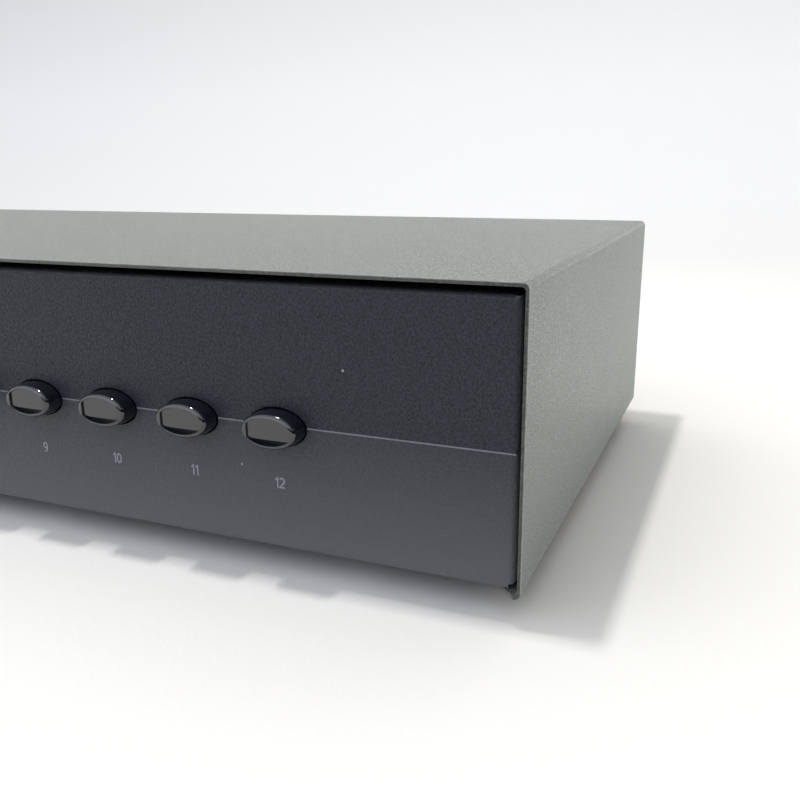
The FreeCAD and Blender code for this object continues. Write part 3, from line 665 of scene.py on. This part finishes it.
def rounded_edge_rings():
    """The front edge of the cap, from its side round to its face."""
    rings = []
    protrusion = panel_y - CAP_FRONT
    last_angle = math.acos(1 - (CAP_RIM - WINDOW_LIP) / CAP_EDGE_RADIUS)
    for step in range(CAP_EDGE_STEPS):
        angle = last_angle * step / CAP_EDGE_STEPS
        back = CAP_EDGE_RADIUS * (1 - math.sin(angle))
        taper = CAP_TAPER * (1 - back / protrusion)
        inset = taper + CAP_EDGE_RADIUS * (1 - math.cos(angle))
        rings.append(oval_ring([half - inset for half in CAP_HALF], CAP_FRONT + back))
    return rings


print("points in a cap ring:", len(CAP_ANGLES))


# %% Cap mesh
def add_ring(shape, points, middle):
    """A ring of vertices about a button's axis."""
    return [shape.verts.new((middle[0] + x, y, middle[1] + z)) for x, y, z in points]


def bridge(shape, ring, next_ring):
    """Quads between two rings with as many points."""
    for i in range(len(ring)):
        j = (i + 1) % len(ring)
        shape.faces.new((ring[i], ring[j], next_ring[j], next_ring[i]))


def close_window(shape, ring):
    """The flat floor above the chord and the sloping one below it, from their shared ring."""
    levels = [vertex.co.z - button_z for vertex in ring]
    shape.faces.new([v for v, z in zip(ring, levels) if z > -CHORD_DROP - SAME_LEVEL])
    shape.faces.new([v for v, z in zip(ring, levels) if z < -CHORD_DROP + SAME_LEVEL])


def add_socket(shape, middle):
    """The square tube behind the face that takes the plunger rod."""
    roof = CAP_FRONT + CAP_ROOF
    squares = []
    for half, y in ((ROD_HALF + CAP_WALL, roof), (ROD_HALF + CAP_WALL, CAP_BACK),
                    (ROD_HALF, CAP_BACK), (ROD_HALF, roof)):
        corners = ((-half, -half), (half, -half), (half, half), (-half, half))
        squares.append([shape.verts.new((middle[0] + x, y, middle[1] + z)) for x, z in corners])
    for square, next_square in zip(squares, squares[1:]):
        bridge(shape, square, next_square)


def make_cap(number, x):
    """One button cap, in place of the construction model's."""
    shape = bmesh.new()
    middle = (x, button_z)
    inner = [half - CAP_WALL - CAP_TAPER for half in CAP_HALF]
    outline = [oval_ring(inner, CAP_FRONT + CAP_ROOF), oval_ring(inner, CAP_BACK),
               oval_ring(CAP_HALF, CAP_BACK), oval_ring(CAP_HALF, panel_y)]
    outline += rounded_edge_rings()
    outline += [window_ring(WINDOW_LIP, 0.0), window_ring(0.0, WINDOW_LIP),
                window_ring(0.0, window_floor_depth)]
    rings = [add_ring(shape, points, middle) for points in outline]
    for ring, next_ring in zip(rings, rings[1:]):
        bridge(shape, ring, next_ring)
    shape.faces.new(rings[0])
    close_window(shape, rings[-1])
    add_socket(shape, middle)
    bmesh.ops.recalc_face_normals(shape, faces=shape.faces)
    name = f"polished_cap_{number:02d}"
    data = mesh_data(name, shape, CAP_SHARP_ANGLE)
    cap = mesh_object(name, data, CAP_BLACK, f"button_{number:02d}")
    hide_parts(f"button_cap_{number:02d}")


for number, x in enumerate(button_xs, start=1):
    make_cap(number, x)
print("caps:", len(button_xs))

# %% [markdown]
# ## The return springs
#
# Inside each switch a wound wire spring pushes its button out again. The spring
# stays in the case and gets shorter as the button goes in. It is built again
# here as a round tube along a helix, which rides on the case. Its place comes
# from its node's box, and from its wall and its button's travel in the record
# comes the share of its length that it keeps when the button is in.

# %% A spring as a tube along a helix
SPRING_WIRE = 0.6 * MM
SPRING_TURNS = 6
STEPS_PER_TURN = 24
WIRE_SIDES = 10
WIRE_SHARP_ANGLE = 60


def make_spring_data(name, low, high):
    """The mesh of a coil about the Y axis that fills a box."""
    reach = (high[0] - low[0] - SPRING_WIRE) / 2
    rise = high[1] - low[1] - SPRING_WIRE
    slope = rise / (2 * math.pi * SPRING_TURNS)
    middle = Vector(((low[0] + high[0]) / 2, low[1] + SPRING_WIRE / 2, (low[2] + high[2]) / 2))
    steps = SPRING_TURNS * STEPS_PER_TURN
    shape = bmesh.new()
    rings = []
    for step in range(steps + 1):
        turn = 2 * math.pi * step / STEPS_PER_TURN
        outward = Vector((math.cos(turn), 0.0, math.sin(turn)))
        centre = middle + reach * outward + Vector((0.0, rise * step / steps, 0.0))
        along = Vector((-reach * math.sin(turn), slope, reach * math.cos(turn)))
        sideways = along.normalized().cross(outward)
        ring = []
        for side in range(WIRE_SIDES):
            angle = 2 * math.pi * side / WIRE_SIDES
            offset = math.cos(angle) * outward + math.sin(angle) * sideways
            ring.append(shape.verts.new(centre + SPRING_WIRE / 2 * offset))
        rings.append(ring)
    for ring, next_ring in zip(rings, rings[1:]):
        bridge(shape, ring, next_ring)
    shape.faces.new(rings[0])
    shape.faces.new(rings[-1])
    bmesh.ops.recalc_face_normals(shape, faces=shape.faces)
    return mesh_data(name, shape, WIRE_SHARP_ANGLE)


# %% Springs, and the share of their length that each keeps
def make_spring(joint):
    """The spring of one button, and the share of its length that it keeps when the button is in."""
    squeezed = joint["deforming_nodes"][0]
    low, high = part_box(squeezed["node"])
    wall = squeezed["fixed_end_y_m"]
    name = squeezed["node"].replace("return_spring", "wound_spring")
    spring = mesh_object(name, make_spring_data(name, low, high), SPRING_STEEL)
    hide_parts(squeezed["node"])
    kept_length = 1 - joint["range_m"][1] / (wall - low[1])
    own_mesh(spring)
    return kept_length


kept_lengths = [make_spring(joint) for joint in frame["record"]["behaviour"]["joints"]]
print("springs:", len(kept_lengths), "shortened to", round(kept_lengths[0], 3))

# %% [markdown]
# ## Printing on the steel
#
# The line and the numbers are screen printed: a film of ink a few hundredths of
# a millimetre thick. A flat mesh laid that far in front of the paint shows the
# crisp edge of real ink, and it is a mesh of its own. The ink itself is
# matt, and a little of the paint's grain shows through it. The strokes of one
# figure may cross, so each lies one thin layer higher than the one before it.

# %% Ink and flat prints
INK_LIFT = 0.03 * MM
INK_LAYER = 0.004 * MM
INK_RELIEF = 2e-5
INK_RANGE = {"from_min": 0.1, "from_max": 0.9, "to_min": 1.12, "to_max": 0.8}


def make_ink(name, colour):
    """Screen printing ink, slightly worn where the paint's grain stands up."""
    material, tree, shader = new_material(name, roughness=0.6)
    grain = place(tree, GRAIN, scale=1900.0, fine_scale=5900.0)
    wear = spread(tree, grain.outputs["Height"], **INK_RANGE)
    join(tree, (mix(tree, 1.0, colour, wear, blend_type="MULTIPLY"), shader.inputs["Base Color"]))
    bump(tree, grain.outputs["Height"], shader, INK_RELIEF)
    return material


PALE_INK = make_ink("pale_ink", (0.34, 0.35, 0.37, 1.0))
LINE_INK = make_ink("line_ink", (0.17, 0.18, 0.205, 1.0))
NUMBER_INK = make_ink("number_ink", (0.24, 0.26, 0.29, 1.0))


def flat_outlines(name, layers, y, material, facing=-1):
    """Flat shapes on a vertical face, in layers that may cross. Each outline is a list of (x, z)."""
    shape = bmesh.new()
    for level, outlines in enumerate(layers):
        front = y + facing * (INK_LIFT + level * INK_LAYER)
        for outline in outlines:
            shape.faces.new([shape.verts.new((x, front, z)) for x, z in outline])
    shape.normal_update()
    for face in shape.faces:
        if face.normal.y * facing < 0:
            face.normal_flip()
    return mesh_object(name, mesh_data(name, shape), material)


# %% Figures and signs as pen strokes
PEN_SHARE = 0.145
ARC_STEPS = 14
CLOSED_WITHIN = 0.01
LEAST_MITRE = 0.5


def arc(middle, radii, start, end):
    """Points on an oval arc, its angles in degrees."""
    turns = [math.radians(start + (end - start) * step / ARC_STEPS) for step in range(ARC_STEPS + 1)]
    return [(middle[0] + radii[0] * math.cos(turn), middle[1] + radii[1] * math.sin(turn))
            for turn in turns]


# Each sign is its width and its strokes, for a height of 1.
GLYPHS = {
    "0": (0.56, [arc((0.28, 0.5), (0.22, 0.43), 90, 450)]),
    "1": (0.44, [[(0.05, 0.76), (0.18, 0.81), (0.28, 0.96)], [(0.28, 1.0), (0.28, 0.0)]]),
    "2": (0.56, [arc((0.28, 0.68), (0.21, 0.25), 165, -40) + [(0.06, 0.07), (0.52, 0.07)]]),
    "3": (0.56, [arc((0.27, 0.71), (0.19, 0.22), 150, -90) + arc((0.27, 0.28), (0.21, 0.21), 90, -150)]),
    "4": (0.56, [[(0.52, 0.26), (0.06, 0.26)], [(0.09, 0.24), (0.37, 0.97)], [(0.39, 1.0), (0.39, 0.0)]]),
    "5": (0.56, [[(0.49, 0.93), (0.14, 0.93), (0.09, 0.52)] + arc((0.27, 0.32), (0.22, 0.25), 120, -150)]),
    "6": (0.56, [arc((0.28, 0.30), (0.21, 0.23), 0, 360), arc((0.34, 0.42), (0.27, 0.51), 75, 190)]),
    "7": (0.56, [[(0.06, 0.93), (0.50, 0.93), (0.28, 0.45), (0.22, 0.0)]]),
    "8": (0.56, [arc((0.28, 0.71), (0.18, 0.22), 0, 360), arc((0.28, 0.28), (0.21, 0.21), 0, 360)]),
    "9": (0.56, [arc((0.28, 0.66), (0.21, 0.27), 0, 360), arc((0.22, 0.52), (0.27, 0.45), -105, 20)]),
    "I": (0.22, [[(0.11, 1.0), (0.11, 0.0)]]),
    "N": (0.62, [[(0.09, 0.0), (0.09, 1.0)], [(0.12, 0.97), (0.50, 0.03)], [(0.53, 0.0), (0.53, 1.0)]]),
    "L": (0.50, [[(0.09, 1.0), (0.09, 0.07), (0.46, 0.07)]]),
    "R": (0.60, [[(0.09, 0.0), (0.09, 0.93), (0.30, 0.93)] + arc((0.30, 0.71), (0.20, 0.22), 90, -90)
                 + [(0.09, 0.49)], [(0.32, 0.49), (0.52, 0.0)]]),
    "+": (0.60, [[(0.06, 0.5), (0.54, 0.5)], [(0.30, 0.26), (0.30, 0.74)]]),
    "-": (0.60, [[(0.06, 0.5), (0.54, 0.5)]]),
}


def stroke_outlines(points):
    """A pen line as four-sided outlines, one for each of its steps, with mitred joints."""
    closed = math.dist(points[0], points[-1]) < CLOSED_WITHIN
    sides = ([], [])
    for i, point in enumerate(points):
        before = points[i - 1] if i else (points[-2] if closed else point)
        after = points[i + 1] if i + 1 < len(points) else (points[1] if closed else point)
        ways = [Vector(b) - Vector(a) for a, b in ((before, point), (point, after)) if a != b]
        across = sum((way.normalized() for way in ways), Vector((0.0, 0.0))).normalized()
        normal = Vector((-across.y, across.x))
        first = Vector((-ways[0].normalized().y, ways[0].normalized().x))
        reach = PEN_SHARE / 2 / max(LEAST_MITRE, normal.dot(first))
        for side, sign in zip(sides, (1, -1)):
            side.append((point[0] + sign * reach * normal.x, point[1] + sign * reach * normal.y))
    left, right = sides
    return [[left[i], left[i + 1], right[i + 1], right[i]] for i in range(len(points) - 1)]


def printed_text(name, words, middle, height, y, material, facing=-1):
    """Plain lettering as flat pen strokes, centred on a place."""
    width = sum(GLYPHS[sign][0] for sign in words)
    start = -width / 2
    layers = []
    for sign in words:
        for stroke in GLYPHS[sign][1]:
            layers.append([[(middle[0] - facing * (start + u) * height, middle[1] + (v - 0.5) * height)
                            for u, v in outline] for outline in stroke_outlines(stroke)])
        start += GLYPHS[sign][0]
    flat_outlines(name, layers, y, material, facing)


print("inks:", PALE_INK.name, LINE_INK.name, NUMBER_INK.name)

# %% [markdown]
# ## The line along the front
#
# A hairline runs the whole length of the panel at button height. It stops at
# each button hole and begins again on its far side, so it is a row of short
# strips rather than one.

# %% Front line
LINE_THICKNESS = 0.4 * MM
LINE_END_INSET = 2.6 * MM
HOLE_MARGIN = 0.35 * MM


def make_front_line():
    """Strips between the button holes, and to both ends of the panel."""
    half_hole = (cap_high[0] - cap_low[0]) / 2 + HOLE_MARGIN
    stops = [cover_low[0] + LINE_END_INSET]
    for x in button_xs:
        stops += [x - half_hole, x + half_hole]
    stops.append(cover_high[0] - LINE_END_INSET)
    low = button_z + LINE_ABOVE_BUTTONS - LINE_THICKNESS / 2
    high = low + LINE_THICKNESS
    strips = [[(a, low), (b, low), (b, high), (a, high)] for a, b in zip(stops[::2], stops[1::2])]
    return flat_outlines("front_line", [strips], panel_y, LINE_INK)


front_line = make_front_line()
print("line strips:", len(front_line.data.polygons))

# %% [markdown]
# ## The numbers
#
# Each button has its number under it, in a plain small sans. The figures are
# drawn as pen strokes of one width, so nothing depends on a font file.

# %% Front numbers
NUMBER_HEIGHT = 3.1 * MM
NUMBER_DROP = 15.5 * MM

for number, x in enumerate(button_xs, start=1):
    printed_text(f"front_number_{number:02d}", str(number), (x, button_z - NUMBER_DROP),
                 NUMBER_HEIGHT, panel_y, NUMBER_INK)
print("front numbers:", len(button_xs))

# %% [markdown]
# ## Marks on the back
#
# The back needs to say which pair of terminals belongs to which button. A plain
# number stands over each group, or IN over the amplifier's, and + and - stand
# under it. L and R stand at the end of the two rows. The legends are printed
# like those in front.

# %% Rear legends
strip_low, strip_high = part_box("terminal_strips")
REAR_NUMBER_HEIGHT = 3.4 * MM
REAR_SIGN_HEIGHT = 2.6 * MM
REAR_MARGIN = 5.0 * MM
SIGN_DROP = REAR_MARGIN * 0.7
SIGN_SPREAD = 5.5 * MM
ROW_INSET = 5.5 * MM
CLAMP_MARGIN = 9.5 * MM
INPUT_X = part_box("terminal_clamps")[0][0] + CLAMP_MARGIN


def rear_legend(name, words, x, z, height=REAR_NUMBER_HEIGHT):
    """A legend on the back, centred on a place."""
    printed_text(name, words, (x, z), height, rear_y, PALE_INK, facing=1)


for number, x in enumerate(button_xs, start=1):
    rear_legend(f"rear_number_{number:02d}", str(number), x, strip_high[2] + REAR_MARGIN)
rear_legend("rear_number_input", "IN", INPUT_X, strip_high[2] + REAR_MARGIN)
for index, x in enumerate(button_xs + [INPUT_X]):
    for side, sign, title in ((-1, "-", "minus"), (1, "+", "plus")):
        rear_legend(f"rear_sign_{index:02d}_{title}", sign, x + side * SIGN_SPREAD,
                    strip_low[2] - SIGN_DROP, REAR_SIGN_HEIGHT)
for letter, z in (("L", strip_high[2] - ROW_INSET), ("R", strip_low[2] + ROW_INSET)):
    rear_legend(f"rear_row_{letter}", letter, strip_high[0] + REAR_MARGIN, z)
print("terminal groups with a legend:", len(button_xs) + 1)

# %% [markdown]
# ## Floor, backdrop and light
#
# The case stands on a white cloth, one sheet that curves up into the backdrop;
# its colour is painted greyer towards the top of the backdrop, as painted shade
# where the light falls off. A small soft lamp hangs straight above the front
# edge, so that it only grazes the panel, and lights the top and the cloth. A
# weak warm lamp stands at the right. The world is bright behind and to the
# left, and dimmer and cooler in front, with bright windows high in front that
# the caps mirror. Where the camera looks past the cloth, the world is at full
# strength or more.

# %% Stage
FLOOR_REACH = 2.0
FLOOR_FRONT = -1.2
SWEEP_START = 0.75
SWEEP_RADIUS = 0.5
BACKDROP_HEIGHT = 1.0
SWEEP_STEPS = 12


def make_sweep_data():
    """Floor and backdrop as one sheet with a round bend between them."""
    profile = [(FLOOR_FRONT, 0.0), (SWEEP_START, 0.0)]
    for step in range(1, SWEEP_STEPS + 1):
        angle = math.pi / 2 * step / SWEEP_STEPS
        profile.append((SWEEP_START + SWEEP_RADIUS * math.sin(angle),
                        SWEEP_RADIUS * (1 - math.cos(angle))))
    profile.append((SWEEP_START + SWEEP_RADIUS, BACKDROP_HEIGHT))
    shape = bmesh.new()
    rows = [[shape.verts.new((x, y, z)) for x in (-FLOOR_REACH, FLOOR_REACH)] for y, z in profile]
    for (a, b), (c, d) in zip(rows, rows[1:]):
        shape.faces.new((a, b, d, c)).smooth = True
    return mesh_data("white_sweep", shape)


# %% Cloth
CLOTH_WHITE = (0.91, 0.91, 0.90, 1.0)
# The grey towards the top of the backdrop is painted shade, where the light falls off.
CLOTH_PAINTED_SHADE_ABOVE = (0.70, 0.705, 0.70, 1.0)
CLOTH_SHADE_FADE = {"from_min": 0.22, "from_max": 0.8}
WEAVE_RELIEF = 8e-5
WEAVE_STRENGTH = 0.6


def make_cloth_white():
    """White cloth with a faint weave, and painted shade that makes it greyer towards the top of the
    backdrop.
    """
    material, tree, shader = new_material("white_cloth", roughness=0.9)
    weave = place(tree, GRAIN, scale=1100.0, fine_scale=3000.0)
    bump(tree, weave.outputs["Height"], shader, WEAVE_RELIEF, WEAVE_STRENGTH)
    axes = add(tree, "ShaderNodeSeparateXYZ")
    join(tree, (object_point(tree), axes.inputs[0]))
    # Painted shade: the colour goes greyer towards the top of the backdrop.
    height = spread(tree, axes.outputs["Z"], **CLOTH_SHADE_FADE)
    join(tree, (mix(tree, height, CLOTH_WHITE, CLOTH_PAINTED_SHADE_ABOVE), shader.inputs["Base Color"]))
    return material


sweep = bpy.data.objects.new("white_sweep", make_sweep_data())
bpy.context.scene.collection.objects.link(sweep)
sweep.data.materials.append(make_cloth_white())
print("floor and backdrop faces:", len(sweep.data.polygons))


# %% Lamps
def make_lamp(name, position, target, size, power, colour):
    """An oblong soft lamp that points at a place. size is its width along X and its depth."""
    data = bpy.data.lights.new(name, "AREA")
    data.shape = "RECTANGLE"
    data.size, data.size_y = size
    data.energy = power
    data.color = colour
    lamp = bpy.data.objects.new(name, data)
    bpy.context.scene.collection.objects.link(lamp)
    lamp.location = position
    lamp.rotation_euler = (Vector(target) - Vector(position)).to_track_quat("-Z", "Y").to_euler()


make_lamp("ceiling_lamp", (-0.12, -0.096, 1.45), target=(0.05, -0.096, 0.0), size=(0.14, 0.07),
          power=8.6, colour=(1.0, 0.98, 0.94))
make_lamp("side_lamp", (1.1, -0.05, 0.6), target=(0.2, 0.0, 0.03), size=(0.3, 0.3),
          power=0.6, colour=(1.0, 0.82, 0.5))
print("lamps:", [lamp.name for lamp in bpy.data.lights])

# %% World
# Each glow follows one axis of the direction, from one place on it to another,
# and its strength goes from the first value to the second on the way.
GLOW_BEHIND = ("Y", -0.7, 0.7, 0.17, 1.12)
GLOW_LEFT = ("X", -0.9, 0.7, 0.62, -0.64)
GLOW_ABOVE = ("Z", 0.2, 0.9, 0.0, 0.1)
WINDOWS_HIGH = ("Z", 0.15, 0.5, 0.0, 1.85)
WINDOWS_AHEAD = ("Y", -0.8, -0.2, 1.0, 0.0)
FRONT_LIGHT = (0.84, 0.87, 1.0, 1.0)
BACK_LIGHT = (1.0, 0.98, 0.87, 1.0)


def make_world():
    """Bright behind and to the left, dimmer and cooler in front, with high windows there."""
    world = bpy.data.worlds.new("pale_room")
    world.use_nodes = True
    tree = world.node_tree
    background = tree.nodes["Background"]
    axes = add(tree, "ShaderNodeSeparateXYZ")
    join(tree, (add(tree, "ShaderNodeTexCoord").outputs["Generated"], axes.inputs[0]))

    def glow(axis, start, end, low, high):
        """A strength that changes along one axis of the direction."""
        return spread(tree, axes.outputs[axis], from_min=start, from_max=end, to_min=low, to_max=high)

    behind = glow(*GLOW_BEHIND)
    sides = calculate(tree, "ADD", behind, glow(*GLOW_LEFT))
    windows = calculate(tree, "MULTIPLY_ADD", glow(*WINDOWS_HIGH), glow(*WINDOWS_AHEAD), glow(*GLOW_ABOVE))
    room = calculate(tree, "ADD", sides, windows)
    rays = add(tree, "ShaderNodeLightPath")
    seen = calculate(tree, "MAXIMUM", room, rays.outputs["Is Camera Ray"])
    join(tree, (seen, background.inputs["Strength"]),
         (mix(tree, behind, FRONT_LIGHT, BACK_LIGHT), background.inputs["Color"]))
    return world


bpy.context.scene.world = make_world()
print("world:", bpy.context.scene.world.name)
